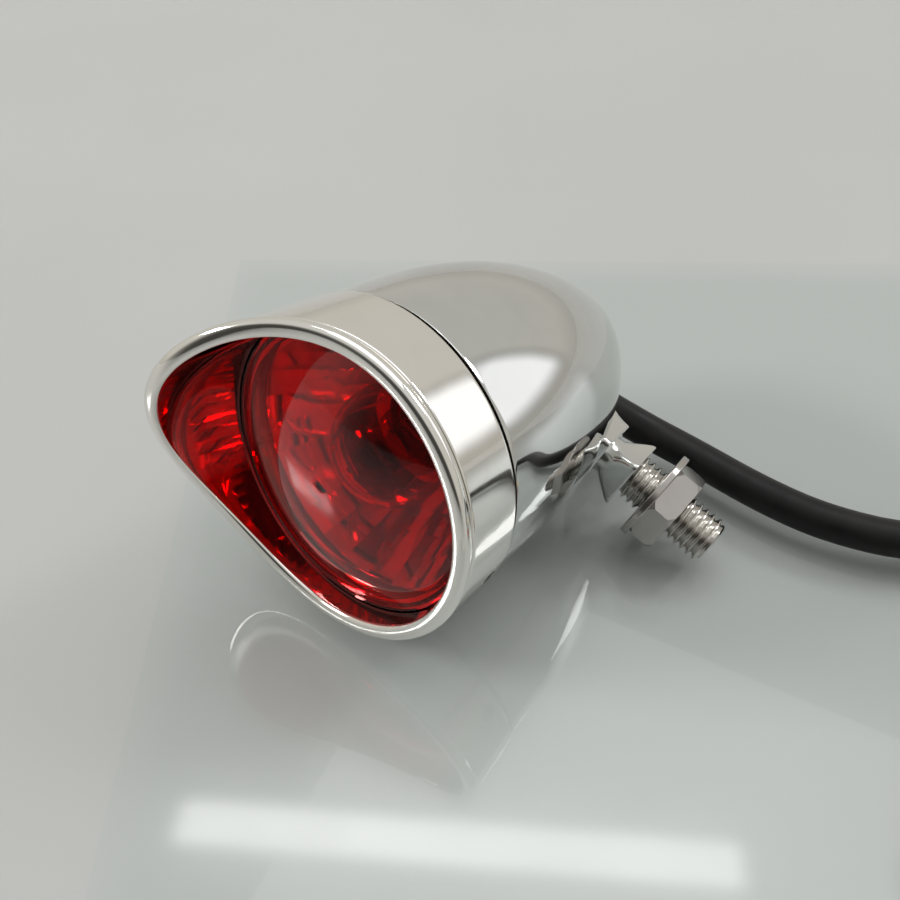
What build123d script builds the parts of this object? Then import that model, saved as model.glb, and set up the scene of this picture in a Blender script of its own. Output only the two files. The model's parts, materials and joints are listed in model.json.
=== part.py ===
from build123d import *
import math
import os

# Bullet tail light: chromed housing, visored bezel, domed red lens, M8 stud.
# Lamp frame (mm): +Z looks out of the lens, Z = 0 is the seam between bezel
# and housing, +X is the peak of the visor and the stud leaves towards -X.
# The finished lamp is laid on its side on the floor, which is Z = 0.

# ---------------------------------------------------------------- dimensions
# bezel and visor
bezel_r = 24.5            # outside radius at the seam
bezel_flare = 0.064       # radius gained per mm towards the rim
rim_z = 12.0              # rim height on the stud side
visor_rise = 11.8         # extra reach of the visor's peak
visor_sharpness = 4.65    # how narrow the visor's peak is
visor_wall = 2.3
bore_r = 22.75            # bezel's bore over the housing spigot
stop_z, stop_r, stop_t = 5.9, 22.0, 0.7   # lip that the lens is cemented on
grub_z, grub_d, grub_socket_af = 2.4, 3.0, 1.5
seam_gap = 0.7

# housing
shell_r = 23.9
shell_len = 56.0
nose_a, nose_b = 2.467, 1.30   # exponents of the bullet outline
shell_wall = 2.9
spigot_r = 22.71
spigot_z = 4.6
spigot_wall = 1.8

# lens, gasket, reflector
lens_r = 22.55
lens_flange_t = 1.6
dome_r, dome_rise = 22.0, 5.5
dome_wall = 2.0
gasket_r, gasket_t = 21.9, 1.4
reflector_t = 0.7
reflector_rim_r = 22.3
focal = 3.66
reflector_z0 = -21.8      # vertex of the reflector's parabola
reflector_hole_r = 8.75
reflector_flat_r = 12.4

# bulb and socket (BAY15d base, 19 mm globe)
contact_z = -31.0         # end face of the bulb's base
base_len, base_r = 17.0, 7.5
glass_r, glass_len = 9.5, 21.0
glass_neck_r = 6.6
pin_d, pin_proud = 2.0, 1.05
pin_heights = (8.0, 11.0)
push_travel = 2.0         # how far the bulb pushes in
socket_bore = 7.6
socket_r = 8.6
socket_rear_z = -40.0
socket_flange_r = 12.0
socket_t = 0.8
slot_turn = 25.0          # degrees from where a pin enters to where it rests
rivet_ring_r = 10.5
solder_h = 0.8
contact_plate_t = 1.5
spring_r, spring_wire = 4.6, 0.7

# stud, washer, nut (M8)
stud_z = -31.8            # where the stud's axis meets the lamp's axis
stud_lean = 6.35          # degrees towards the tail of the lamp
stud_d = 8.0
square_turn = -10.0       # turn of the boss and the collar about the stud
boss_side, boss_end = 9.0, 20.3
neck_r = 3.35
neck_end = 21.3
collar_side = 9.3
collar_seat = 25.9        # distance of the bracket's seat from the lamp's axis
collar_edge = 0.5
stud_end = 42.6
inner_stud_d = 6.0
inner_stud_end = 11.6
inner_nut_af, inner_nut_t = 10.0, 3.2
inner_seat = 16.6
inner_washer_r, inner_washer_t = 5.6, 1.2
washer_r, washer_hole_r, washer_t = 8.0, 4.2, 1.2
washer_at = 30.1          # near face of the washer
nut_af, nut_t = 13.0, 4.2
nut_bore_r = 4.06
nut_corner = 1.5          # degrees from the lamp's Y to a corner of the nut
free_end = 36.25          # where the thread beyond the nut starts
valley, valley_depth = 0.7, 0.45    # thread valley at the nut's outer face

# cable and its far end
cable_d = 6.2
exit_z, exit_angle = -45.5, 165.0
grommet_r, grommet_bore_r = 4.3, 2.6
lead_d = 1.4
tail_d = 1.8
bullet_d, bullet_len = 3.6, 12.0
sleeve_d, sleeve_len = 5.0, 9.0

# how the lamp lies on the floor
front_lift = 10.8         # degrees that the lens looks up
roll = 158.58             # turn about the lamp's axis


def bezel_radius(z):
    return bezel_r + bezel_flare * z


def rim_height(angle):
    return rim_z + visor_rise * ((1 + math.cos(angle)) / 2) ** visor_sharpness


def nose(fraction, radius, length, front):
    """A point on a bullet outline, a fraction of the way to its tip."""
    r = radius * (1 - fraction ** nose_a) ** (1 / nose_b)
    return (r, front - fraction * length)


def bullet_outline(radius, length, front):
    stations = (0, 0.25, 0.45, 0.62, 0.77, 0.89, 1)
    return [nose(s, radius, length, front) for s in stations]


# planes: the revolved pieces are drawn in XZ, the stud's in its own plane
lean = math.radians(stud_lean)
stud_dir = Vector(-math.cos(lean), 0, -math.sin(lean))
stud_origin = Vector(0, 0, stud_z)


def stud_plane(distance):
    """Plane across the stud; its X is the lamp's Y."""
    return Plane(stud_origin + stud_dir * distance, x_dir=(0, 1, 0), z_dir=stud_dir)


exit_r = nose(-exit_z / shell_len, shell_r, shell_len, 0)[0]
ahead = nose(-exit_z / shell_len - 0.02, shell_r, shell_len, 0)[0]
exit_slope = (ahead - exit_r) / (0.02 * shell_len)
turn = math.radians(exit_angle)
exit_dir = Vector(math.cos(turn), math.sin(turn), -exit_slope).normalized()
exit_point = Vector(exit_r * math.cos(turn), exit_r * math.sin(turn), exit_z)


def exit_plane(distance):
    return Plane(exit_point + exit_dir * distance, z_dir=exit_dir)


# ------------------------------------------------------------------- housing
with BuildPart() as housing:
    with BuildSketch(Plane.XZ):
        with BuildLine():
            outer = Spline(bullet_outline(shell_r, shell_len, -seam_gap),
                           tangents=[(0, -1), (-1, 0)])
            Polyline((0, -seam_gap - shell_len), (0, -seam_gap), (shell_r, -seam_gap))
        make_face()
    revolve(axis=Axis.Z)
    front_edge = housing.edges().filter_by(GeomType.CIRCLE).sort_by(Axis.Z)[-1]
    chamfer(front_edge, 0.35)
    # spigot that carries the bezel
    with BuildSketch(Plane.XY.offset(-seam_gap)):
        Circle(spigot_r)
    extrude(amount=seam_gap + spigot_z)
    # pad under the stud
    with BuildSketch(stud_plane(boss_end)):
        RectangleRounded(boss_side, boss_side, 0.6, rotation=square_turn)
    extrude(amount=-(boss_end - 12.0))
    # cavity
    with BuildSketch(Plane.XZ):
        with BuildLine():
            Spline(bullet_outline(spigot_r - spigot_wall, shell_len - shell_wall, -seam_gap),
                   tangents=[(0, -1), (-1, 0)])
            Polyline((0, -seam_gap - shell_len + shell_wall), (0, spigot_z + 1),
                     (spigot_r - spigot_wall, spigot_z + 1), (spigot_r - spigot_wall, -seam_gap))
        make_face()
    revolve(axis=Axis.Z, mode=Mode.SUBTRACT)
    # flat seat inside for the stud's nut, and its hole
    with BuildSketch(stud_plane(inner_stud_end - 1)):
        Circle(inner_washer_r + 0.3)
    extrude(amount=inner_seat - inner_stud_end + 1, mode=Mode.SUBTRACT)
    with BuildSketch(stud_plane(10)):
        Circle(inner_stud_d / 2 + 0.05)
    extrude(amount=15, mode=Mode.SUBTRACT)
    # cable hole
    with BuildSketch(exit_plane(-8)):
        Circle(grommet_bore_r + 0.8)
    extrude(amount=12, mode=Mode.SUBTRACT)


# --------------------------------------------------------------------- bezel
def rim_cutter():
    """Everything above the rim line."""
    angles = [math.radians(15 * i) for i in range(24)]
    rims = [Edge.make_spline([Vector(r * math.cos(a), r * math.sin(a), rim_height(a))
                              for a in angles], periodic=True) for r in (14, 34)]
    return Solid.extrude(Face.make_surface_from_curves(*rims), Vector(0, 0, 45))


top_z = rim_z + visor_rise + 3
with BuildPart() as bezel:
    with BuildSketch(Plane.XZ):
        with BuildLine():
            Polyline((bore_r, 0), (bezel_r - 0.3, 0), (bezel_radius(0.3), 0.3),
                     (bezel_radius(top_z), top_z),
                     (bezel_radius(top_z) - visor_wall, top_z),
                     (bezel_radius(stop_z + stop_t) - visor_wall, stop_z + stop_t),
                     (stop_r, stop_z + stop_t), (stop_r, stop_z), (bore_r, stop_z),
                     (bore_r, 0))
        make_face()
    revolve(axis=Axis.Z)
    add(rim_cutter(), mode=Mode.SUBTRACT)
    # hole for the grub screw, on the stud side
    with BuildSketch(Plane(origin=(-20, 0, grub_z), x_dir=(0, 1, 0), z_dir=(-1, 0, 0))):
        Circle(grub_d / 2 + 0.03)
    extrude(amount=8, mode=Mode.SUBTRACT)

with BuildPart() as bezel_grub_screw:
    with BuildSketch(Plane(origin=(-bore_r - 0.03, 0, grub_z), x_dir=(0, 1, 0), z_dir=(-1, 0, 0))):
        Circle(grub_d / 2)
    extrude(amount=bezel_r - bore_r - 0.15)
    with BuildSketch(Plane(origin=(-bezel_r + 0.1, 0, grub_z), x_dir=(0, 1, 0), z_dir=(-1, 0, 0))):
        RegularPolygon(grub_socket_af / 2, 6, major_radius=False)
    extrude(amount=-1.0, mode=Mode.SUBTRACT)

# ------------------------------------------------------- lens and its gasket
flange_z = stop_z + stop_t          # underside of the lens's flange
lens_z = flange_z + lens_flange_t   # where its dome starts
with BuildPart() as lens:
    with BuildSketch(Plane.XZ):
        with BuildLine():
            TangentArc((0, lens_z + dome_rise), (dome_r, lens_z), tangent=(1, 0))
            Polyline((dome_r, lens_z), (lens_r, lens_z), (lens_r, flange_z),
                     (dome_r - dome_wall, flange_z))
            TangentArc((0, lens_z + dome_rise - dome_wall), (dome_r - dome_wall, flange_z),
                       tangent=(1, 0))
            Line((0, lens_z + dome_rise - dome_wall), (0, lens_z + dome_rise))
        make_face()
    revolve(axis=Axis.Z)

with BuildPart() as lens_gasket:
    with BuildSketch(Plane.XY.offset(flange_z - gasket_t)):
        Circle(gasket_r)
        Circle(spigot_r - spigot_wall, mode=Mode.SUBTRACT)
    extrude(amount=gasket_t)


# ----------------------------------------------------------------- reflector
def parabola(r):
    return reflector_z0 + r * r / (4 * focal)


cup_r = spigot_r - spigot_wall - 0.4          # outside of the cup at its mouth
flat_z = parabola(reflector_flat_r)
flange_top = spigot_z + 0.6
cup_radii = (cup_r - reflector_t, (cup_r + reflector_flat_r) / 2, reflector_flat_r)
with BuildPart() as reflector:
    with BuildSketch(Plane.XZ):
        with BuildLine():
            Spline([(r, parabola(r)) for r in cup_radii])
            Polyline((reflector_flat_r, flat_z), (reflector_hole_r, flat_z),
                     (reflector_hole_r, flat_z - reflector_t),
                     (reflector_flat_r + reflector_t, flat_z - reflector_t))
            Spline([(reflector_flat_r + reflector_t, flat_z - reflector_t),
                    (cup_radii[1] + reflector_t, parabola(cup_radii[1]) - 0.3),
                    (cup_r, spigot_z)])
            Polyline((cup_r, spigot_z), (reflector_rim_r, spigot_z),
                     (reflector_rim_r, flange_top), (cup_radii[0], flange_top),
                     (cup_radii[0], parabola(cup_radii[0])))
        make_face()
    revolve(axis=Axis.Z)
    with BuildSketch(Plane.XY.offset(flat_z)):
        with PolarLocations(rivet_ring_r, 2):
            Circle(1.0)
    extrude(amount=-3, mode=Mode.SUBTRACT)

# -------------------------------------------------------------------- socket
socket_front_z = flat_z - reflector_t
pin_zs = [contact_z + h for h in pin_heights]
with BuildPart() as socket_shell:
    with BuildSketch(Plane.XY.offset(socket_rear_z)):
        Circle(socket_r)
    extrude(amount=socket_front_z - socket_rear_z)
    with BuildSketch(Plane.XY.offset(socket_front_z - socket_t)):
        Circle(socket_flange_r)
    extrude(amount=socket_t)
    with BuildSketch(Plane.XY.offset(socket_rear_z + 1)):
        Circle(socket_bore)
    extrude(amount=socket_front_z - socket_rear_z, mode=Mode.SUBTRACT)
    with BuildSketch(Plane.XY.offset(socket_front_z)):
        with PolarLocations(rivet_ring_r, 2):
            Circle(1.0)
    extrude(amount=-2, mode=Mode.SUBTRACT)
    with BuildSketch(Plane.XY.offset(socket_rear_z)):
        with PolarLocations(3.4, 3):
            Circle(lead_d / 2 + 0.1)
    extrude(amount=1, mode=Mode.SUBTRACT)
    # a J slot for each pin: a notch, a short turn, and the way in
    slot_w = pin_d + 0.3
    for pin_z, side in zip(pin_zs, (90, 270)):
        foot = pin_z - push_travel - slot_w / 2
        legs = [(side, foot, pin_z + slot_w / 2), (side + slot_turn, foot, socket_front_z + 1)]
        legs += [(side + step * slot_turn / 4, foot, foot + slot_w) for step in (1, 2, 3)]
        for angle, low, high in legs:
            with Locations(Location((0, 0, (low + high) / 2), (0, 0, angle))):
                with Locations((8.2, 0, 0)):
                    Box(2.2, slot_w, high - low, mode=Mode.SUBTRACT)

with BuildPart() as socket_rivets:
    head_r, head_t, shank_r = 1.6, 0.7, 1.0
    shank_foot = socket_front_z - socket_t
    for z, r, h in ((flat_z, head_r, head_t), (shank_foot, shank_r, flat_z - shank_foot),
                    (shank_foot - head_t, head_r, head_t)):
        with BuildSketch(Plane.XY.offset(z)):
            with PolarLocations(rivet_ring_r, 2):
                Circle(r)
        extrude(amount=h)

plate_top = contact_z - solder_h - 0.6
with BuildPart() as contact_plate:
    with BuildSketch(Plane.XY.offset(plate_top - contact_plate_t)):
        Circle(socket_bore - 0.05)
    extrude(amount=contact_plate_t)

with BuildPart() as plate_contacts:
    with BuildSketch(Plane.XY.offset(plate_top)):
        with PolarLocations(3.2, 2):
            Circle(1.4)
    extrude(amount=0.58)

spring_top, spring_foot = plate_top - contact_plate_t, socket_rear_z + 1
with BuildPart() as contact_spring:
    with BuildLine() as coil:
        Helix(pitch=(spring_top - spring_foot - spring_wire) / 3,
              height=spring_top - spring_foot - spring_wire, radius=spring_r,
              center=(0, 0, spring_foot + spring_wire / 2))
    with BuildSketch(coil.line ^ 0):
        Circle(spring_wire / 2)
    sweep()

# ---------------------------------------------------------------------- bulb
base_top = contact_z + base_len
with BuildPart() as bulb_base:
    with BuildSketch(Plane.XY.offset(contact_z + 0.8)):
        Circle(base_r)
    extrude(amount=base_len - 0.8)
    with BuildSketch(Plane.XY.offset(contact_z + 2)):
        Circle(base_r - 0.4)
    extrude(amount=base_len, mode=Mode.SUBTRACT)
    for pin_z, side in zip(pin_zs, (1, -1)):
        with BuildSketch(Plane(origin=(0, side * (base_r - 0.3), pin_z), z_dir=(0, side, 0))):
            Circle(pin_d / 2)
        extrude(amount=pin_proud + 0.3)

with BuildPart() as bulb_insulator:
    with BuildSketch(Plane.XY.offset(contact_z)):
        Circle(base_r - 1.2)
    with BuildSketch(Plane.XY.offset(contact_z + 0.8)):
        Circle(base_r - 0.3)
    loft()

with BuildPart() as bulb_contacts:
    with BuildSketch(Plane.XY.offset(contact_z - solder_h)):
        with PolarLocations(3.2, 2):
            Circle(1.5)
    extrude(amount=solder_h)

globe_z = base_top + glass_len - glass_r


def globe_arc(radius, neck):
    start = -math.degrees(math.acos(neck / radius))
    return CenterArc((0, globe_z), radius, start, 90 - start)


with BuildPart() as bulb_glass:
    with BuildSketch(Plane.XZ):
        with BuildLine():
            outside = globe_arc(glass_r, glass_neck_r)
            inside = globe_arc(glass_r - 0.7, glass_neck_r - 0.7)
            Polyline(outside @ 0, (glass_neck_r, base_top - 3),
                     (glass_neck_r - 0.7, base_top - 3), inside @ 0)
            Line(outside @ 1, inside @ 1)
        make_face()
    revolve(axis=Axis.Z)

stem_top = base_top + 4
with BuildPart() as bulb_stem:
    with BuildSketch(Plane.XY.offset(base_top - 3)):
        Circle(4.0)
    with BuildSketch(Plane.XY.offset(stem_top)):
        Circle(1.6)
    loft()

filament_half = 2.6
filaments = {"filament_stop": (0.9, 5.5), "filament_tail": (-0.9, 3.5)}
with BuildPart() as filament_posts:
    for y, reach in filaments.values():
        for x in (-filament_half, filament_half):
            with BuildSketch(Plane(origin=(x / 3, y, stem_top - 1), z_dir=(x * 2 / 3, 0, reach + 1))):
                Circle(0.2)
            extrude(amount=math.hypot(x * 2 / 3, reach + 1))


def filament(y, reach):
    with BuildPart() as wire:
        with BuildSketch(Plane(origin=(-filament_half + 0.15, y, stem_top + reach), z_dir=(1, 0, 0))):
            Circle(0.3)
        extrude(amount=2 * filament_half - 0.3)
    return wire


filament_stop, filament_tail = [filament(*place) for place in filaments.values()]

# ------------------------------------------------------ stud, washer and nuts
with BuildPart() as mount_stud:
    with BuildSketch(stud_plane(inner_stud_end)):
        Circle(inner_stud_d / 2)
    extrude(amount=boss_end - inner_stud_end)
    with BuildSketch(stud_plane(boss_end)):
        Circle(neck_r)
    extrude(amount=neck_end - boss_end)
    # collar flares from the neck to a square seat
    with BuildSketch(stud_plane(neck_end)):
        RectangleRounded(2 * neck_r - 0.1, 2 * neck_r - 0.1, neck_r - 0.1, rotation=square_turn)
    with BuildSketch(stud_plane((neck_end + collar_seat) / 2)):
        middle_side = 0.5 * neck_r + 0.6 * collar_side - 0.2
        RectangleRounded(middle_side, middle_side, 1.6, rotation=square_turn)
    with BuildSketch(stud_plane(collar_seat - collar_edge)):
        RectangleRounded(collar_side, collar_side, 0.3, rotation=square_turn)
    loft()
    with BuildSketch(stud_plane(collar_seat - collar_edge)):
        RectangleRounded(collar_side, collar_side, 0.3, rotation=square_turn)
    extrude(amount=collar_edge)
    with BuildSketch(stud_plane(collar_seat - collar_edge)):
        Circle(stud_d / 2)
    extrude(amount=stud_end - collar_seat + collar_edge)
    tip = mount_stud.faces().filter_by(GeomType.PLANE).sort_by(Axis.X)[0].edges()
    chamfer(tip, 0.7)
    # one thread valley between the nut and the free end
    with BuildSketch(stud_plane(free_end - valley)):
        Circle(stud_d / 2 + 1)
        Circle(stud_d / 2 - valley_depth, mode=Mode.SUBTRACT)
    extrude(amount=valley, mode=Mode.SUBTRACT)

with BuildPart() as inner_washer:
    with BuildSketch(stud_plane(inner_seat - inner_washer_t)):
        Circle(inner_washer_r)
        Circle(inner_stud_d / 2 + 0.2, mode=Mode.SUBTRACT)
    extrude(amount=inner_washer_t)

with BuildPart() as inner_nut:
    with BuildSketch(stud_plane(inner_seat - inner_washer_t - inner_nut_t)):
        RegularPolygon(inner_nut_af / 2, 6, major_radius=False)
        Circle(inner_stud_d / 2 + 0.03, mode=Mode.SUBTRACT)
    extrude(amount=inner_nut_t)

with BuildPart() as mount_washer:
    with BuildSketch(stud_plane(washer_at)):
        Circle(washer_r)
        Circle(washer_hole_r, mode=Mode.SUBTRACT)
    extrude(amount=washer_t)
    fillet(mount_washer.edges().filter_by(lambda e: e.length > 6 * washer_r), 0.25)

nut_at = washer_at + washer_t + 0.03
with BuildPart() as mount_nut:
    # a chamfered disc trims the corners of the hexagon
    with BuildSketch(stud_plane(nut_at)):
        Circle(nut_af / 2 / math.cos(math.pi / 6) + 0.02)
    extrude(amount=nut_t)
    chamfer(mount_nut.edges().filter_by(GeomType.CIRCLE), 0.9, 0.5)
    with BuildSketch(stud_plane(nut_at)):
        RegularPolygon(nut_af / 2, 6, major_radius=False, rotation=nut_corner)
    extrude(amount=nut_t, mode=Mode.INTERSECT)
    with BuildSketch(stud_plane(nut_at)):
        Circle(nut_bore_r)
    extrude(amount=nut_t, mode=Mode.SUBTRACT)

# -------------------------------------------------------- grommet and leads
grommet_out = 1.8
flange_lift = 0.45
with BuildPart() as cable_grommet:
    with BuildSketch(exit_plane(-3.4)):
        Circle(grommet_bore_r + 0.8)
    extrude(amount=3.4 + flange_lift)
    with BuildSketch(exit_plane(flange_lift)):
        Circle(grommet_r)
    with BuildSketch(exit_plane(grommet_out)):
        Circle(cable_d / 2 + 0.4)
    loft()
    with BuildSketch(exit_plane(-4)):
        Circle(grommet_bore_r)
    extrude(amount=8, mode=Mode.SUBTRACT)

with BuildPart() as inner_leads:
    beside = (Vector(0, 1, 0) - exit_dir * exit_dir.Y).normalized()
    behind = exit_dir.cross(beside)
    behind = behind * (-1 if behind.Z > 0 else 1)
    for angle, drop in ((0, 6.4), (120, 3.4), (240, 3.4)):
        a = math.radians(angle)
        start = Vector(3.4 * math.cos(a), 3.4 * math.sin(a), socket_rear_z + 0.2)
        shift = (behind * math.cos(a) + beside * math.sin(a)) * 1.5
        with BuildLine() as way:
            FilletPolyline(start, start - Vector(0, 0, drop), exit_point - exit_dir * 2.8 + shift,
                           exit_point + exit_dir * grommet_out + shift, radius=1.4)
        with BuildSketch(way.line ^ 0):
            Circle(lead_d / 2)
        sweep()

# ------------------------------------------------------------- laid to rest
lamp = dict(housing=housing, bezel=bezel, bezel_grub_screw=bezel_grub_screw, lens=lens,
            lens_gasket=lens_gasket, reflector=reflector, socket_shell=socket_shell,
            socket_rivets=socket_rivets, contact_plate=contact_plate,
            plate_contacts=plate_contacts, contact_spring=contact_spring, bulb_base=bulb_base,
            bulb_insulator=bulb_insulator, bulb_contacts=bulb_contacts, bulb_glass=bulb_glass,
            bulb_stem=bulb_stem, filament_posts=filament_posts, filament_stop=filament_stop,
            filament_tail=filament_tail, mount_stud=mount_stud, inner_washer=inner_washer,
            inner_nut=inner_nut, mount_washer=mount_washer, mount_nut=mount_nut,
            cable_grommet=cable_grommet, inner_leads=inner_leads)
tilt = Location((0, 0, 0), (90 - front_lift, 0, 0)) * Location((0, 0, 0), (0, 0, roll))
box = Compound([piece.part.moved(tilt) for piece in lamp.values()]).bounding_box()
corner = Vector(-box.center().X, -box.center().Y, -box.min.Z)
rest = Location(corner) * tilt

# --------------------------------------------------------------------- cable
loop_r = 36.0
loop_centre = Vector(112, 46)


def on_floor(x, y, z=cable_d / 2 + 0.05):
    return Vector(x + corner.X, y + corner.Y, z)


def loop_point(angle, radius):
    a = math.radians(angle)
    return on_floor(loop_centre.X + radius * math.cos(a), loop_centre.Y + radius * math.sin(a))


way_out = (rest * Location(exit_point + exit_dir * grommet_out)).position
way_dir = ((rest * Location(exit_point + exit_dir * 20)).position - way_out).normalized()
route = [way_out, way_out + way_dir * 8.5, on_floor(25.7, 49.4), on_floor(40, 48.4),
         on_floor(52, 49.3), on_floor(65, 54.2)]
route += [loop_point(140 - 30 * k, loop_r / math.cos(math.radians(15))) for k in range(9)]


def fillet_radii(points):
    radii = []
    for before, here, after in zip(points, points[1:], points[2:]):
        turn = math.radians((here - before).get_angle(after - here))
        run = min((here - before).length, (after - here).length)
        radii.append(0.45 * run / math.tan(turn / 2))
    return radii


radii = fillet_radii(route)
print("cable radii", [round(r, 1) for r in radii])
with BuildPart() as cable:
    with BuildLine() as way:
        FilletPolyline(*route, radius=radii)
    with BuildSketch(way.line ^ 0):
        Circle(cable_d / 2)
    sweep()
cable_length = way.wire().length
fullness = cable.part.volume / (math.pi * cable_d ** 2 / 4 * cable_length)
print("cable length", round(cable_length, 1), "volume over section times length", round(fullness, 4))

# tails out of the cable's end, each with a bullet connector
end_dir = (route[-1] - route[-2]).normalized()
end_side = Vector(end_dir.Y, -end_dir.X)      # into the loop
sleeve_z = sleeve_d / 2 + 0.05


def tail_route(k):
    start = route[-1] + end_dir * 0.06 + end_side * (1.9 * k)
    bend = start + end_dir * (12 - 5.8 * k)
    stop = bend + end_side * (16 - 1.9 * k)
    return start, Vector(bend.X, bend.Y, sleeve_z), Vector(stop.X, stop.Y, sleeve_z)


tail_parts, sleeve_parts, bullet_parts = [], [], []
for k in (-1, 0, 1):
    points = tail_route(k)
    with BuildPart() as tail:
        with BuildLine() as way:
            FilletPolyline(*points, radius=5)
        with BuildSketch(way.line ^ 0):
            Circle(tail_d / 2)
        sweep()
    with BuildPart() as sleeve:
        with BuildSketch(Plane(points[2], z_dir=end_side)):
            Circle(sleeve_d / 2)
        extrude(amount=sleeve_len)
    with BuildPart() as bullet:
        with BuildSketch(Plane(points[2] + end_side * sleeve_len, z_dir=end_side)):
            Circle(bullet_d / 2)
        extrude(amount=bullet_len - 4)
        fillet(bullet.faces().sort_by(Axis((0, 0, 0), (end_side.X, end_side.Y, 0)))[-1].edges(), 1.2)
    tail_parts.append(tail.part)
    sleeve_parts.append(sleeve.part)
    bullet_parts.append(bullet.part)

# ------------------------------------------------------------------- writing
os.makedirs("parts", exist_ok=True)
pieces = {name: piece.part.moved(rest) for name, piece in lamp.items()}
pieces["cable"] = cable.part
pieces["tail_wires"] = Compound(tail_parts)
pieces["connector_sleeves"] = Compound(sleeve_parts)
pieces["bullet_connectors"] = Compound(bullet_parts)
for name, piece in pieces.items():
    piece.label = name
    export_step(piece, f"parts/{name}.step")
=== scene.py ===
import json
import math
import bpy
import bmesh
from mathutils import Matrix, Vector


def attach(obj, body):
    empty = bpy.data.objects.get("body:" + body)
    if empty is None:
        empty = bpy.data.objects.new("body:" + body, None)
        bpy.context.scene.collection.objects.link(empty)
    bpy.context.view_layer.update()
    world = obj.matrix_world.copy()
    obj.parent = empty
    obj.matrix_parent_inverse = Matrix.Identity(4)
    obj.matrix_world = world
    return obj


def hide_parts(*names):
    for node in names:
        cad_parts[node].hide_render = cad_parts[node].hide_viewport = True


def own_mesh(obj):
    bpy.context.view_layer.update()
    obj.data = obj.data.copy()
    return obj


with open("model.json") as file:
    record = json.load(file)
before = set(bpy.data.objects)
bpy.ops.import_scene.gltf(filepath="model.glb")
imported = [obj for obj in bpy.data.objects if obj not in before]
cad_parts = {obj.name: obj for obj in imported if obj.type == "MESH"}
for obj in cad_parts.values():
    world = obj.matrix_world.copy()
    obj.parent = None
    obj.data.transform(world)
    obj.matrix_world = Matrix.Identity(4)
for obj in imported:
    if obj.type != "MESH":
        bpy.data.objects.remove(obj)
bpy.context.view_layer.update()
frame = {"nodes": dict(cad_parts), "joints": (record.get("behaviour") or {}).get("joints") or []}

MM = 0.001

# --------------------------------------------------------- the lamp's frame
# Lamp frame, mm: +Z out of the lens, Z = 0 at the seam, +X the visor's peak.
# The grub screw's hinge, which places it, is GRUB_OUT from the lamp's axis and
# GRUB_AHEAD in front of the seam.
GRUB_OUT, GRUB_AHEAD = 24.0, 2.4
joints = {j["name"]: j for j in frame["joints"]}
forward = Vector(joints["bezel_pull"]["axis"]).normalized()
peak = -Vector(joints["grub_screw_turn"]["axis"]).normalized()
side = forward.cross(peak)
seam = (Vector(joints["grub_screw_turn"]["pos_m"])
        + peak * (GRUB_OUT * MM) - forward * (GRUB_AHEAD * MM))
LAMP = Matrix((peak, side, forward)).transposed().to_4x4()
LAMP.translation = seam


def at(x, y, z):
    """A point given in lamp mm, in the row frame."""
    return LAMP @ (Vector((x, y, z)) * MM)


# ------------------------------------------------------------------- camera
def make_camera():
    optics = bpy.data.cameras.new("camera")
    optics.lens = 41.54
    optics.sensor_width = 36
    optics.clip_start = 0.005
    camera = bpy.data.objects.new("camera", optics)
    bpy.context.scene.collection.objects.link(camera)
    right, up, back = ((-0.67217, -0.36222, -0.64574),
                       (0.70161, -0.59021, -0.39925),
                       (-0.23651, -0.72142, 0.65086))
    look = Matrix((right, up, back)).transposed().to_4x4()
    look.translation = Vector((-43.04, -114.76, 94.06)) * MM
    camera.matrix_world = LAMP @ look
    bpy.context.scene.camera = camera


make_camera()


# ---------------------------------------------------------------- materials
NOISE_LOW, NOISE_HIGH = 0.3, 0.7     # where most of a noise texture's values lie
METAL_BUMP = 2e-5                    # height of a metal's fine unevenness, m


def nodes_of(owner):
    owner.use_nodes = True
    return owner.node_tree.nodes, owner.node_tree.links


def noise(mat, scale, detail=4):
    nodes, links = nodes_of(mat)
    where = nodes.new("ShaderNodeTexCoord")
    mapping = nodes.new("ShaderNodeMapping")
    mapping.inputs["Scale"].default_value = (scale, scale, scale)
    links.new(where.outputs["Object"], mapping.inputs["Vector"])
    tex = nodes.new("ShaderNodeTexNoise")
    tex.inputs["Scale"].default_value = 1.0
    tex.inputs["Detail"].default_value = detail
    tex.inputs["Roughness"].default_value = 0.55
    links.new(mapping.outputs["Vector"], tex.inputs["Vector"])
    return tex.outputs["Fac"]


def ramp(owner, fac, stops):
    """A colour that runs through (place, colour) stops."""
    nodes, links = nodes_of(owner)
    node = nodes.new("ShaderNodeValToRGB")
    while len(node.color_ramp.elements) < len(stops):
        node.color_ramp.elements.new(0.5)
    for element, (place, colour) in zip(node.color_ramp.elements, stops):
        element.position, element.color = place, (*colour, 1)
    links.new(fac, node.inputs["Fac"])
    return node.outputs["Color"]


def span(mat, fac, low, high):
    """A noise's values, spread from low to high."""
    nodes, links = nodes_of(mat)
    node = nodes.new("ShaderNodeMapRange")
    node.inputs["From Min"].default_value = NOISE_LOW
    node.inputs["From Max"].default_value = NOISE_HIGH
    node.inputs["To Min"].default_value = low
    node.inputs["To Max"].default_value = high
    links.new(fac, node.inputs["Value"])
    return node.outputs["Result"]


def principled(name, colour=None, **values):
    """A material with these values on its shader's own sockets, "_" standing for a space."""
    mat = bpy.data.materials.new(name)
    mat.use_nodes = True
    shader = mat.node_tree.nodes["Principled BSDF"]
    if colour:
        shader.inputs["Base Color"].default_value = (*colour, 1)
    for key, value in values.items():
        shader.inputs[key.replace("_", " ")].default_value = value
    return mat


def drive(mat, socket, output):
    nodes, links = nodes_of(mat)
    links.new(output, nodes["Principled BSDF"].inputs[socket])


def bump(mat, height, strength, distance):
    nodes, links = nodes_of(mat)
    node = nodes.new("ShaderNodeBump")
    node.inputs["Strength"].default_value = strength
    node.inputs["Distance"].default_value = distance
    links.new(height, node.inputs["Height"])
    drive(mat, "Normal", node.outputs["Normal"])


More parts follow.
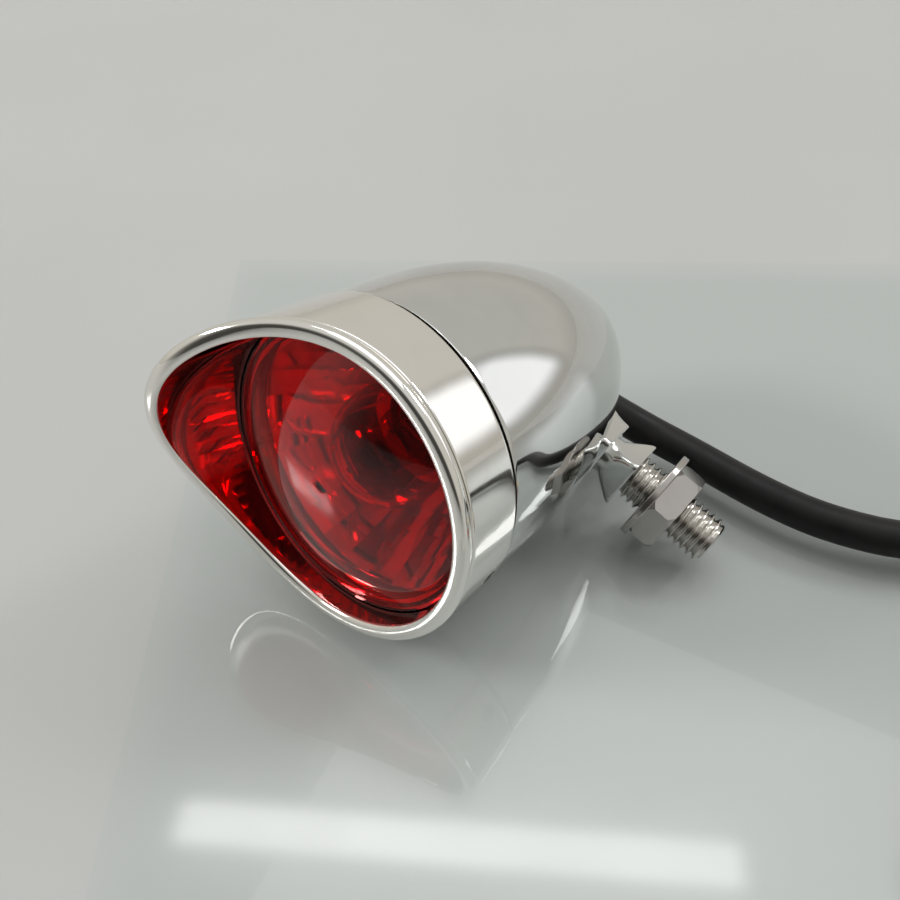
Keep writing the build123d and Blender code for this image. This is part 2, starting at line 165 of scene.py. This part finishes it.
def metal(name, low, high, rough, grain, bumpy=0.04):
    """Metal with a slow change of tint, and polish that varies over it."""
    mat = principled(name, Metallic=1.0)
    drive(mat, "Base Color", ramp(mat, noise(mat, 60, 3), [(0.35, low), (0.65, high)]))
    drive(mat, "Roughness", span(mat, noise(mat, grain, 5), *rough))
    bump(mat, noise(mat, grain * 0.5), bumpy, METAL_BUMP)
    return mat


def dull(name, low, high, rough, grain, bumpy=0.25, depth=5e-5, **values):
    """Rubber, plastic or board, with a fine grain."""
    mat = principled(name, **values)
    colour = ramp(mat, noise(mat, grain * 0.25), [(NOISE_LOW, low), (NOISE_HIGH, high)])
    drive(mat, "Base Color", colour)
    drive(mat, "Roughness", span(mat, noise(mat, grain), *rough))
    bump(mat, noise(mat, grain, 6), bumpy, depth)
    return mat


def clear(name, colour, rough, ior, grain=500, bumpy=0.01, depth=2e-5, **values):
    """Clear or tinted glass or plastic, very slightly uneven."""
    mat = principled(name, colour, IOR=ior, Transmission_Weight=1.0, **values)
    drive(mat, "Roughness", span(mat, noise(mat, grain), *rough))
    bump(mat, noise(mat, grain * 0.2, 3), bumpy, depth)
    return mat


def wire_material():
    """Black, red and yellow plastic: each wire has its own colour."""
    mat = principled("wires")
    nodes, links = nodes_of(mat)
    which = nodes.new("ShaderNodeNewGeometry")
    colours = nodes.new("ShaderNodeValToRGB")
    stops = colours.color_ramp
    stops.interpolation = "CONSTANT"
    for place, colour in ((0, (0.012, 0.012, 0.013)), (0.34, (0.42, 0.012, 0.012)),
                          (0.67, (0.55, 0.38, 0.02))):
        element = stops.elements[0] if place == 0 else stops.elements.new(place)
        element.position, element.color = place, (*colour, 1)
    links.new(which.outputs["Random Per Island"], colours.inputs["Fac"])
    drive(mat, "Base Color", colours.outputs["Color"])
    drive(mat, "Roughness", span(mat, noise(mat, 900), 0.3, 0.45))
    bump(mat, noise(mat, 1200), 0.15, 3e-5)
    return mat


chrome = metal("chrome", (0.66, 0.67, 0.66), (0.72, 0.725, 0.715), (0.03, 0.07), 400, 0.02)
bezel_chrome = metal("bezel_chrome", (0.86, 0.84, 0.80), (0.90, 0.885, 0.85), (0.045, 0.10),
                     300, 0.03)
# painted reflection: the visor's inner side is chrome tinted red to stand in for the red lens that
# it mirrors
visor_inside = metal("visor_inside", (0.74, 0.22, 0.21), (0.80, 0.27, 0.25), (0.03, 0.07),
                     300, 0.02)
nickel = metal("nickel", (0.62, 0.60, 0.575), (0.70, 0.68, 0.65), (0.10, 0.20), 1500, 0.03)
zinc = metal("zinc_steel", (0.50, 0.475, 0.46), (0.60, 0.57, 0.55), (0.13, 0.20), 260, 0.015)
# painted shade: bare metal painted near-black, for the dark gap at the seam and the shell's inside
bare_painted_shade = metal("bare_zinc_painted_shade", (0.035, 0.028, 0.024), (0.06, 0.05, 0.042), (0.45, 0.6), 900, 0.2)
brass = metal("brass", (0.62, 0.45, 0.20), (0.74, 0.56, 0.27), (0.22, 0.36), 1100)
solder = metal("solder", (0.48, 0.48, 0.49), (0.58, 0.58, 0.59), (0.38, 0.55), 900, 0.4)
tungsten = metal("tungsten", (0.26, 0.26, 0.27), (0.36, 0.36, 0.37), (0.35, 0.5), 3000, 0.5)
mirror = metal("reflector", (0.86, 0.86, 0.86), (0.92, 0.92, 0.91), (0.04, 0.09), 500, 0.02)

rubber = dull("black_rubber", (0.010, 0.010, 0.011), (0.022, 0.021, 0.021), (0.45, 0.6), 1200)
sleeve = dull("cable_sleeve", (0.008, 0.008, 0.009), (0.017, 0.016, 0.016), (0.36, 0.50), 700,
              bumpy=0.22, depth=8e-5, Specular_IOR_Level=0.22)
insulator = dull("black_insulator", (0.012, 0.012, 0.014), (0.03, 0.03, 0.032), (0.3, 0.45), 1500)
board = dull("laminated_board", (0.30, 0.16, 0.06), (0.42, 0.24, 0.10), (0.45, 0.65), 1600)
wires = wire_material()

red_lens = clear("red_lens", (0.84, 0.008, 0.02), (0.0, 0.02), 1.49, 260, 0.03, 4e-5,
                 Specular_IOR_Level=0.2)
glass = clear("clear_glass", (0.97, 0.98, 0.98), (0.0, 0.015), 1.5)
clear_sleeve = clear("clear_sleeve", (0.86, 0.85, 0.80), (0.12, 0.22), 1.5, 900, 0.2)

FINISH = {
    "housing": chrome, "bezel": bezel_chrome, "bezel_grub_screw": insulator, "lens": red_lens,
    "lens_gasket": rubber, "reflector": mirror, "socket_shell": zinc, "socket_rivets": brass,
    "contact_plate": board, "plate_contacts": brass, "contact_spring": zinc,
    "bulb_base": brass, "bulb_insulator": insulator, "bulb_contacts": solder,
    "bulb_glass": glass, "bulb_stem": glass, "filament_posts": tungsten,
    "filament_stop": tungsten, "filament_tail": tungsten, "mount_stud": chrome,
    "inner_washer": zinc, "inner_nut": zinc, "mount_washer": zinc, "mount_nut": zinc,
    "cable_grommet": rubber, "inner_leads": wires, "cable": sleeve, "tail_wires": wires,
    "connector_sleeves": clear_sleeve, "bullet_connectors": brass,
}
for name, mat in FINISH.items():
    data = frame["nodes"][name].data
    data.materials.clear()
    data.materials.append(mat)


# ------------------------------------------------------------ mesh building
def new_object(name, data, mat):
    obj = bpy.data.objects.new(name, data)
    bpy.context.scene.collection.objects.link(obj)
    if mat:
        data.materials.append(mat)
    return obj


def smooth(obj, sharp_deg):
    """Smooth shading, with edges sharper than sharp_deg left crisp."""
    mesh = obj.data
    mesh.polygons.foreach_set("use_smooth", [True] * len(mesh.polygons))
    mesh.set_sharp_from_angle(angle=math.radians(sharp_deg))
    obj.modifiers.new("even normals", "WEIGHTED_NORMAL").keep_sharp = True


def mended(mesh, merge=0.0, cap=False):
    """The mesh with points nearer than merge (m) joined, its open ends closed if cap is
    true, and its faces all turned outwards."""
    work = bmesh.new()
    work.from_mesh(mesh)
    if merge:
        bmesh.ops.remove_doubles(work, verts=work.verts, dist=merge)
    if cap:
        bmesh.ops.holes_fill(work, edges=[e for e in work.edges if e.is_boundary])
    bmesh.ops.recalc_face_normals(work, faces=work.faces)
    work.to_mesh(mesh)
    work.free()
    return mesh


def loops_mesh(name, loops, close_loop=True, close_stack=False):
    """Faces between loops of points that match one to one."""
    count, size = len(loops), len(loops[0])
    points = [tuple(p) for loop in loops for p in loop]
    faces = []
    for i in range(count if close_stack else count - 1):
        j = (i + 1) % count
        for a in range(size if close_loop else size - 1):
            b = (a + 1) % size
            faces.append((i * size + a, i * size + b, j * size + b, j * size + a))
    mesh = bpy.data.meshes.new(name)
    mesh.from_pydata(points, [], faces)
    mesh.validate()
    return mended(mesh)


def turned(name, outline, mat, steps=256):
    """A piece made by taking a closed (radius, height) outline round the lamp's axis; the
    outline may be a function of the angle."""
    loops = []
    for i in range(steps):
        a = 2 * math.pi * i / steps
        section = outline(a) if callable(outline) else outline
        loops.append([at(r * math.cos(a), r * math.sin(a), z) for r, z in section])
    return new_object(name, loops_mesh(name, loops, close_stack=True), mat)


def bore_out(obj, start, direction, radius, length, segments=64):
    """Cuts a round hole, given in lamp mm."""
    work = bmesh.new()
    bmesh.ops.create_cone(work, cap_ends=True, segments=segments, radius1=radius * MM,
                          radius2=radius * MM, depth=length * MM)
    mesh = bpy.data.meshes.new("cutter")
    work.to_mesh(mesh)
    work.free()
    cutter = new_object("cutter", mesh, None)
    direction = Vector(direction)
    middle = Vector(start) + direction * (length / 2)
    cutter.matrix_world = (LAMP @ Matrix.Translation(middle * MM)
                           @ direction.to_track_quat("Z", "X").to_matrix().to_4x4())
    bpy.context.view_layer.update()
    cut = obj.modifiers.new("hole", "BOOLEAN")
    cut.operation, cut.object, cut.solver = "DIFFERENCE", cutter, "EXACT"
    evaluated = obj.evaluated_get(bpy.context.evaluated_depsgraph_get())
    result = bpy.data.meshes.new_from_object(evaluated)
    obj.modifiers.clear()
    obj.data = result
    bpy.data.objects.remove(cutter)


# -------------------------------------------------------------------- bezel
# the rim's lowest height, its rise to the visor's peak, and how narrow the peak is
RIM_LOW, RIM_RISE, RIM_POWER = 12, 11.8, 4.65
BEZEL_WALL = 2.3
LEDGE_TOP = 6.95                     # the inner ledge that the lens is fixed under
# the rolled lip: distance out from the wall, and down from the rim
LIP = ((-0.14, 2.72), (-0.14, 2.50), (-0.19, 2.36), (-0.42, 2.22), (-0.44, 2.08), (-0.20, 1.94),
       (0.06, 1.76), (0.22, 1.45), (0.27, 1.10), (0.24, 0.75), (0.12, 0.44), (-0.10, 0.20),
       (-0.40, 0.05), (-0.80, 0.0), (-1.30, 0.0), (-1.75, 0.06), (-2.05, 0.20), (-2.22, 0.42),
       (-2.29, 0.70), (-BEZEL_WALL, 1.0))
# the outline's bands from the lip's inner edge to the ledge's underside
INNER_BANDS = range(26, 37)


def rim_height(angle):
    return RIM_LOW + RIM_RISE * ((1 + math.cos(angle)) / 2) ** RIM_POWER


def wall_radius(z):
    """The bezel's wall widens a little towards its rim."""
    return 24.5 + 0.064 * z


def bezel_outline(angle):
    """The bezel's section at an angle round it: (radius, height) from the seam, up the
    outside, over the rolled lip and down the inside to the lens's ledge and the bore."""
    top = rim_height(angle) + 0.12
    edge = wall_radius(top)
    out = [(24.40, 0.0), (24.47, 0.02), (24.50, 0.08), (wall_radius(0.35), 0.35)]
    out += [(wall_radius(top * f), top * f) for f in (0.08, 0.2, 0.4, 0.6)]
    out += [(edge + r, top - z) for r, z in LIP]
    lip_foot = top - LIP[-1][1]
    for f in (0.1, 0.35, 0.65, 0.93):
        z = lip_foot + (LEDGE_TOP - lip_foot) * f
        out.append((wall_radius(z) - BEZEL_WALL, z))
    out += [(wall_radius(LEDGE_TOP) - BEZEL_WALL, LEDGE_TOP), (22.62, 6.62), (22.4, 6.6),
            (22.0, 6.6), (22.0, 5.9), (22.75, 5.9), (22.75, 0.25), (22.95, 0.0)]
    return out


def make_bezel():
    obj = turned("bezel_shell", bezel_outline, bezel_chrome, steps=288)
    # painted reflection: the visor's inner bands get the red-tinted chrome
    obj.data.materials.append(visor_inside)
    bands = len(bezel_outline(0))
    for face in obj.data.polygons:
        if face.index % bands in INNER_BANDS:
            face.material_index = 1
    # the grub screw's hole
    bore_out(obj, (-19.7, 0, GRUB_AHEAD), (-1, 0, 0), 1.56, 8, segments=48)
    smooth(obj, 40)
    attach(obj, "bezel")
    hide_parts("bezel")


make_bezel()

# ------------------------------------------------------------------ housing
# the stud's axis leaves the lamp's at STUD_Z, leaning back by LEAN
STUD_Z, LEAN = -31.8, math.radians(6.35)
stud_foot = Vector((0, 0, STUD_Z))
stud_dir = Vector((-math.cos(LEAN), 0, -math.sin(LEAN)))
across = Vector((0, 1, 0))
along = stud_dir.cross(across)

# the shell: its radius and length, outside and inside, and where its curve starts
SHELL_R, SHELL_LEN = 23.9, 56
BORE_R, BORE_LEN = 20.91, 53.1
SHELL_START = -0.7
SHELL_EDGE = -1.1                    # its front edge, across a small gap from the bezel
PAINTED_SHADE_ABOVE, SKIN = -1.12, 1.2        # bare metal painted near-black as shade from this height up, and this far under the skin
SPIGOT_R, SPIGOT_TOP = 22.71, 4.6    # the part that the bezel slides over

# where the cable leaves
EXIT_Z, EXIT_TURN = 45.5, math.radians(165)
SLOPE_STEP = 0.02


def nose_radius(fraction, radius=SHELL_R):
    """The bullet's radius at a fraction of its length."""
    return radius * (1 - min(1, fraction) ** 2.467) ** (1 / 1.30)


def under_skin(point):
    """How far a point in lamp mm is inside the bullet's outer surface, across the axis."""
    return nose_radius((SHELL_START - point.z) / SHELL_LEN) - math.hypot(point.x, point.y)


exit_r = nose_radius(EXIT_Z / SHELL_LEN)
slope = (nose_radius(EXIT_Z / SHELL_LEN - SLOPE_STEP) - exit_r) / (SLOPE_STEP * SHELL_LEN)
exit_dir = Vector((math.cos(EXIT_TURN), math.sin(EXIT_TURN), -slope)).normalized()
exit_point = Vector((exit_r * math.cos(EXIT_TURN), exit_r * math.sin(EXIT_TURN), -EXIT_Z))


def make_housing():
    tip, steps, inner_steps = 1e-5, 96, 40
    outside = [(SPIGOT_R, 4.35), (SPIGOT_R, 0.2), (SPIGOT_R, SHELL_EDGE), (23.2, SHELL_EDGE),
               (23.58, SHELL_EDGE), (23.78, SHELL_EDGE), (23.86, -1.14), (23.89, -1.24)]
    for i in range(1, steps + 1):
        f = math.sin(math.pi / 2 * i / steps) ** 1.15
        if f * SHELL_LEN > 0.8:
            outside.append((max(nose_radius(f), tip), SHELL_START - SHELL_LEN * f))
    inside = []
    for i in range(inner_steps, 0, -1):
        f = math.sin(math.pi / 2 * i / inner_steps)
        inside.append((max(nose_radius(f, BORE_R), tip), SHELL_START - BORE_LEN * f))
    front = [(BORE_R, 0), (BORE_R, SPIGOT_TOP), (22.45, SPIGOT_TOP), (22.64, 4.52)]
    obj = turned("housing_shell", outside + inside + front, chrome)
    mended(obj.data, 5e-8)
    # the cable's exit, the stud's hole, and the hole that the stud's boss fills
    bore_out(obj, exit_point - exit_dir * 8, exit_dir, 3.4, 12)
    bore_out(obj, stud_foot + stud_dir * 10, stud_dir, 3.05, 15)
    bore_out(obj, stud_foot + stud_dir * 10.6, stud_dir, 5.9, 6)
    # painted shade: bare metal painted near-black inside the shell, on the spigot and in the gap
    # at the seam, where shade falls
    obj.data.materials.append(bare_painted_shade)
    to_lamp = LAMP.inverted()
    for face in obj.data.polygons:
        middle = (to_lamp @ face.center) / MM
        if middle.z > PAINTED_SHADE_ABOVE or under_skin(middle) > SKIN:
            face.material_index = 1
    smooth(obj, 30)
    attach(obj, "lamp")
    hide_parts("housing")


make_housing()


# ---------------------------------------------------------------- reflector
def make_reflector():
    """Metallised parabolic cup with flat facets."""
    focal, vertex, wall = 3.66, -21.8, 0.7
    flange_r, flange_low, flange_high = 22.3, 4.6, 5.2
    front = [(r, vertex + r * r / (4 * focal)) for r in (19.81, 18.0, 16.2, 14.3, 12.4)]
    flat = front[-1][1]
    outline = [(19.81, flange_high)] + front
    outline += [(8.75, flat), (8.75, flat - wall), (13.1, flat - wall), (17.1, -3.6),
                (20.51, flange_low), (flange_r, flange_low), (flange_r, flange_high)]
    obj = turned("reflector_cup", outline, mirror, steps=24)
    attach(obj, "lamp")
    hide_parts("reflector")


make_reflector()


# ------------------------------------------------------------------- spring
def make_spring():
    """Coil spring between the socket's bottom and the contact plate."""
    foot, top, wire, radius, turns, steps, sides = -39.0, -33.9, 0.7, 4.6, 3, 180, 14
    loops = []
    for i in range(steps + 1):
        a = 2 * math.pi * turns * i / steps
        height = foot + wire / 2 + (top - foot - wire) * i / steps
        loop = []
        for k in range(sides):
            b = 2 * math.pi * k / sides
            r = radius + wire / 2 * math.cos(b)
            loop.append(at(r * math.cos(a), r * math.sin(a), height + wire / 2 * math.sin(b)))
        loops.append(loop)
    coil = mended(loops_mesh("spring_coil", loops), cap=True)
    obj = new_object("spring_coil", coil, zinc)
    smooth(obj, 40)
    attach(obj, "lamp")
    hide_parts("contact_spring")
    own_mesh(obj)


make_spring()


# --------------------------------------------------------------------- stud
def on_stud(distance, radius, angle):
    """A point round the stud's axis, in the row frame; the angle starts at the lamp's Y."""
    place = stud_foot + stud_dir * distance
    place += radius * (across * math.cos(angle) + along * math.sin(angle))
    return at(*place)


def square_radius(angle, half, roundness):
    """Radius at an angle of a square turned by -10 degrees, its corners rounded: 0 leaves
    them nearly sharp, 1 makes a circle."""
    a = (angle + math.radians(10)) % (math.pi / 2)
    a = min(a, math.pi / 2 - a)
    power = 2 + 14 * (1 - roundness)
    return half / (math.cos(a) ** power + math.sin(a) ** power) ** (1 / power)


def stud_piece(name, sections):
    """A chromed piece through sections across the stud: (distance, half side, roundness)."""
    angles = [2 * math.pi * i / 128 for i in range(128)]
    loops = [[on_stud(d, square_radius(a, half, roundness), a) for a in angles]
             for d, half, roundness in sections]
    obj = new_object(name, mended(loops_mesh(name, loops), cap=True), chrome)
    smooth(obj, 38)
    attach(obj, "lamp")
    return obj


boss = stud_piece("stud_boss", [
    (13.0, 5.2, 0.30), (16.6, 4.95, 0.25), (17.8, 4.68, 0.2), (18.9, 4.54, 0.14),
    (19.9, 4.50, 0.12), (20.15, 4.46, 0.13), (20.28, 4.36, 0.15), (20.3, 4.2, 0.17)])
flare = stud_piece("stud_collar", [
    (11.6, 3.0, 1), (20.3, 3.0, 1), (20.3, 3.35, 1), (21.3, 3.35, 1), (21.8, 3.38, 0.95),
    (22.4, 3.48, 0.85), (23.0, 3.64, 0.70), (23.6, 3.86, 0.52), (24.2, 4.12, 0.34),
    (24.8, 4.40, 0.20), (25.2, 4.56, 0.13), (25.42, 4.63, 0.12), (25.75, 4.65, 0.12),
    (25.87, 4.61, 0.13), (25.9, 4.5, 0.14)])


def make_thread():
    """M8 x 1.25: rows follow the helix, so each keeps its place in the thread's form."""
    pitch, crest, start, stop = 1.25, 4.0, 25.7, 42.6
    chamfer, chamfer_slope, end_radius = 0.75, 1.05, 3.2
    form = ((0.0, crest), (0.06, crest), (0.13, 3.96), (0.34, 3.52), (0.52, 3.27),
            (0.60, 3.23), (0.68, 3.27), (0.87, 3.52), (1.12, 3.96), (1.19, crest))
    columns = 80
    turns = int((stop - start) / pitch) + 3
    rows = [(start + pitch * k + place, radius) for k in range(-1, turns)
            for place, radius in form]
    loops = []
    for height, radius in rows:
        loop = []
        for i in range(columns + 1):
            d = min(max(height + pitch * i / columns, start), stop)
            r = min(radius, crest - max(0.0, d - (stop - chamfer)) * chamfer_slope)
            r = max(r, end_radius) if d < stop else min(r, end_radius)
            loop.append(on_stud(d, r, 2 * math.pi * i / columns))
        loops.append(loop)
    mesh = mended(loops_mesh("stud_thread", loops, close_loop=False), merge=2e-6, cap=True)
    obj = new_object("stud_thread", mesh, nickel)
    smooth(obj, 28)
    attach(obj, "lamp")
    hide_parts("mount_stud")


make_thread()

# -------------------------------------------------------------------- cable
# The route of the cable's tube: out of the grommet, over the floor and round one loose
# loop. The tube's runs touch the loop's circle, so its corners lie outside it.
CABLE_D = 6.2
LIE_Z = CABLE_D / 2 + 0.05
LOOP_X, LOOP_Y, LOOP_R = 112, 46, 36
LOOP_START, LOOP_STEP = 140, 30      # degrees
leave = exit_point + exit_dir * 1.8
ahead = leave + exit_dir * 8.5


def on_floor(x, y):
    """A point of the lying cable's middle; x and y are mm along the row's axes, from the
    seam's middle."""
    return Vector((x * MM + seam.x, y * MM + seam.y, LIE_Z * MM))


def loop_point(angle):
    a = math.radians(angle)
    radius = LOOP_R / math.cos(math.radians(LOOP_STEP / 2))
    return on_floor(LOOP_X + radius * math.cos(a), LOOP_Y + radius * math.sin(a))


route = [at(*leave), at(*ahead), on_floor(25.7, 49.4), on_floor(40, 48.4), on_floor(52, 49.3),
         on_floor(65, 54.2)]
route += [loop_point(LOOP_START - LOOP_STEP * k) for k in range(9)]

line = bpy.data.curves.new("cable_sleeve", "CURVE")
line.dimensions = "3D"
spline = line.splines.new("NURBS")
spline.points.add(len(route) - 1)
for point, place in zip(spline.points, route):
    point.co = (*place, 1)
spline.order_u = 3
spline.use_endpoint_u = True
spline.resolution_u = 24
line.bevel_depth = CABLE_D / 2 * MM
line.bevel_resolution = 10
line.use_fill_caps = True
cable = new_object("cable_sleeve", line, sleeve)
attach(cable, "lamp")
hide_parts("cable")

# -------------------------------------------------------------------- stage
GLASS_IOR = 1.5
GLASS_TINT = (0.962, 0.985, 0.980, 1)
BOARD_HALF, BOARD_Z = 3, -0.0026     # the board lies under the glass plate


def floor_material():
    mat = principled("floor_board", Specular_IOR_Level=0.5)
    pale, paler = (0.492, 0.50, 0.498), (0.522, 0.53, 0.528)
    drive(mat, "Base Color", ramp(mat, noise(mat, 6, 3), [(NOISE_LOW, pale), (NOISE_HIGH, paler)]))
    drive(mat, "Roughness", span(mat, noise(mat, 90, 5), 0.10, 0.16))
    return mat


def plate_material():
    """The top of a glass plate: clear, with a glassy reflection. Light that comes back from
    the board meets its underside, and the Fresnel node would take that for the inside of
    the glass and turn most of it back, so there the index is the other way up."""
    mat = bpy.data.materials.new("glass_plate")
    nodes, links = nodes_of(mat)
    nodes.clear()
    out = nodes.new("ShaderNodeOutputMaterial")
    mix = nodes.new("ShaderNodeMixShader")
    through = nodes.new("ShaderNodeBsdfTransparent")
    gloss = nodes.new("ShaderNodeBsdfGlossy")
    fresnel = nodes.new("ShaderNodeFresnel")
    sided = nodes.new("ShaderNodeNewGeometry")
    index = nodes.new("ShaderNodeMapRange")
    gloss.inputs["Roughness"].default_value = 0.02
    through.inputs["Color"].default_value = GLASS_TINT
    index.inputs["To Min"].default_value = GLASS_IOR
    index.inputs["To Max"].default_value = 1 / GLASS_IOR
    links.new(sided.outputs["Backfacing"], index.inputs["Value"])
    links.new(index.outputs["Result"], fresnel.inputs["IOR"])
    links.new(fresnel.outputs["Fac"], mix.inputs["Fac"])
    links.new(through.outputs["BSDF"], mix.inputs[1])
    links.new(gloss.outputs["BSDF"], mix.inputs[2])
    links.new(mix.outputs["Shader"], out.inputs["Surface"])
    return mat


def plane(name, corners, mat):
    """A flat panel through corners in order, which is part of the stage."""
    mesh = bpy.data.meshes.new(name)
    mesh.from_pydata(corners, [], [tuple(range(len(corners)))])
    obj = new_object(name, mesh, mat)
    return obj


def rectangle(half_x, half_y, z):
    return [(-half_x, -half_y, z), (half_x, -half_y, z), (half_x, half_y, z), (-half_x, half_y, z)]


plane("floor_board", rectangle(BOARD_HALF, BOARD_HALF, BOARD_Z), floor_material())
plane("glass_plate", [(-0.0957, 0.0262, 0), (0.0263, -0.114, 0), (0.96, 0.60, 0),
                      (0.84, 0.742, 0)], plate_material())


# ------------------------------------------------------------------- lights
def aimed(place, target):
    """The place of a light that shines along its -Z, towards a target."""
    aim = (Vector(target) - Vector(place)).to_track_quat("-Z", "Y").to_matrix().to_4x4()
    return Matrix.Translation(place) @ aim


def glow_material(name, size_x, size_y, radiance, soft):
    mat = bpy.data.materials.new(name)
    nodes, links = nodes_of(mat)
    nodes.clear()
    where = nodes.new("ShaderNodeTexCoord")
    split = nodes.new("ShaderNodeSeparateXYZ")
    links.new(where.outputs["Object"], split.inputs["Vector"])
    fades = []
    for axis, size, share in (("X", size_x, soft[0]), ("Y", size_y, soft[1])):
        away = nodes.new("ShaderNodeMath")
        away.operation = "ABSOLUTE"
        links.new(split.outputs[axis], away.inputs[0])
        fade = nodes.new("ShaderNodeMapRange")
        fade.interpolation_type = "SMOOTHSTEP"
        fade.inputs["From Min"].default_value = size / 2
        fade.inputs["From Max"].default_value = size / 2 * (1 - share)
        links.new(away.outputs["Value"], fade.inputs["Value"])
        fades.append(fade.outputs["Result"])
    both = nodes.new("ShaderNodeMath")
    both.operation = "MULTIPLY"
    links.new(fades[0], both.inputs[0])
    links.new(fades[1], both.inputs[1])
    level = nodes.new("ShaderNodeMath")
    level.operation = "MULTIPLY"
    level.inputs[1].default_value = radiance
    links.new(both.outputs["Value"], level.inputs[0])
    shine = nodes.new("ShaderNodeEmission")
    links.new(level.outputs["Value"], shine.inputs["Strength"])
    rest = nodes.new("ShaderNodeBsdfTransparent")
    blend = nodes.new("ShaderNodeMixShader")
    links.new(both.outputs["Value"], blend.inputs["Fac"])
    links.new(rest.outputs["BSDF"], blend.inputs[1])
    links.new(shine.outputs["Emission"], blend.inputs[2])
    out = nodes.new("ShaderNodeOutputMaterial")
    links.new(blend.outputs["Shader"], out.inputs["Surface"])
    return mat


def glow(name, matrix, size_x, size_y, radiance, soft):
    """A soft-edged shining panel; soft is the share of each side over which it fades."""
    panel = plane(name, rectangle(size_x / 2, size_y / 2, 0),
                  glow_material(name, size_x, size_y, radiance, soft))
    panel.matrix_world = matrix


def area(name, place, size_x, size_y, power, colour=(1, 1, 1)):
    """A rectangular light aimed at the lamp."""
    light = bpy.data.lights.new(name, "AREA")
    light.shape = "RECTANGLE"
    light.size, light.size_y = size_x, size_y
    light.energy, light.color = power, colour
    obj = bpy.data.objects.new(name, light)
    bpy.context.scene.collection.objects.link(obj)
    obj.matrix_world = aimed(place, (0, 0, 0))


# ceiling tube that shows as a bar in the glass plate
tube_a, tube_b = Vector((-0.700, 0.118, 1.2)), Vector((-0.020, 0.596, 1.2))
tube = tube_b - tube_a
tube_turn = Matrix.Rotation(math.atan2(tube.y, tube.x), 4, "Z")
glow("tube", Matrix.Translation((tube_a + tube_b) / 2) @ tube_turn, tube.length, 0.13, 7,
     (0.14, 0.8))
# tall window to the right, behind
glow("window", aimed((0.62, 0.95, 0.42), (0, 0, 0.02)), 0.8, 0.95, 1.2, (0.5, 0.6))
# fittings in front on the left and behind on the right, and the ceiling's own light
area("fitting", (-0.9, -0.9, 0.8), 0.47, 0.16, 7, (1.0, 0.99, 0.97))
area("fitting_behind", (0.557, 0.965, 1.0), 0.35, 0.35, 3.8)
area("ceiling", (-0.1, 0.5, 2.0), 1.6, 1.6, 8, (1.0, 0.998, 0.985))


def make_world():
    """A plain pale room: its colour goes by height, and it is darker in front."""
    world = bpy.data.worlds.new("world")
    bpy.context.scene.world = world
    nodes, links = nodes_of(world)
    background = nodes["Background"]
    where = nodes.new("ShaderNodeTexCoord")
    split = nodes.new("ShaderNodeSeparateXYZ")
    links.new(where.outputs["Generated"], split.inputs["Vector"])
    height = nodes.new("ShaderNodeMapRange")
    height.inputs["From Min"].default_value = -1
    links.new(split.outputs["Z"], height.inputs["Value"])
    sky = ramp(world, height.outputs["Result"], [
        (0.0, (0.40, 0.41, 0.40)), (0.5, (0.50, 0.48, 0.43)), (0.56, (0.58, 0.555, 0.50)),
        (0.75, (0.58, 0.565, 0.52)), (1.0, (0.66, 0.66, 0.64))])
    facing = nodes.new("ShaderNodeVectorMath")
    facing.operation = "DOT_PRODUCT"
    facing.inputs[1].default_value = (0.30, -0.95, 0.05)
    links.new(where.outputs["Generated"], facing.inputs[0])
    room = nodes.new("ShaderNodeMapRange")
    room.interpolation_type = "SMOOTHSTEP"
    room.inputs["From Min"].default_value = 0.55
    room.inputs["From Max"].default_value = 0.88
    room.inputs["To Min"].default_value = 1.0
    room.inputs["To Max"].default_value = 0.10
    links.new(facing.outputs["Value"], room.inputs["Value"])
    shade = nodes.new("ShaderNodeVectorMath")
    shade.operation = "SCALE"
    links.new(sky, shade.inputs[0])
    links.new(room.outputs["Result"], shade.inputs["Scale"])
    links.new(shade.outputs["Vector"], background.inputs["Color"])
    background.inputs["Strength"].default_value = 1.0


make_world()
bpy.context.scene.view_settings.view_transform = "Standard"
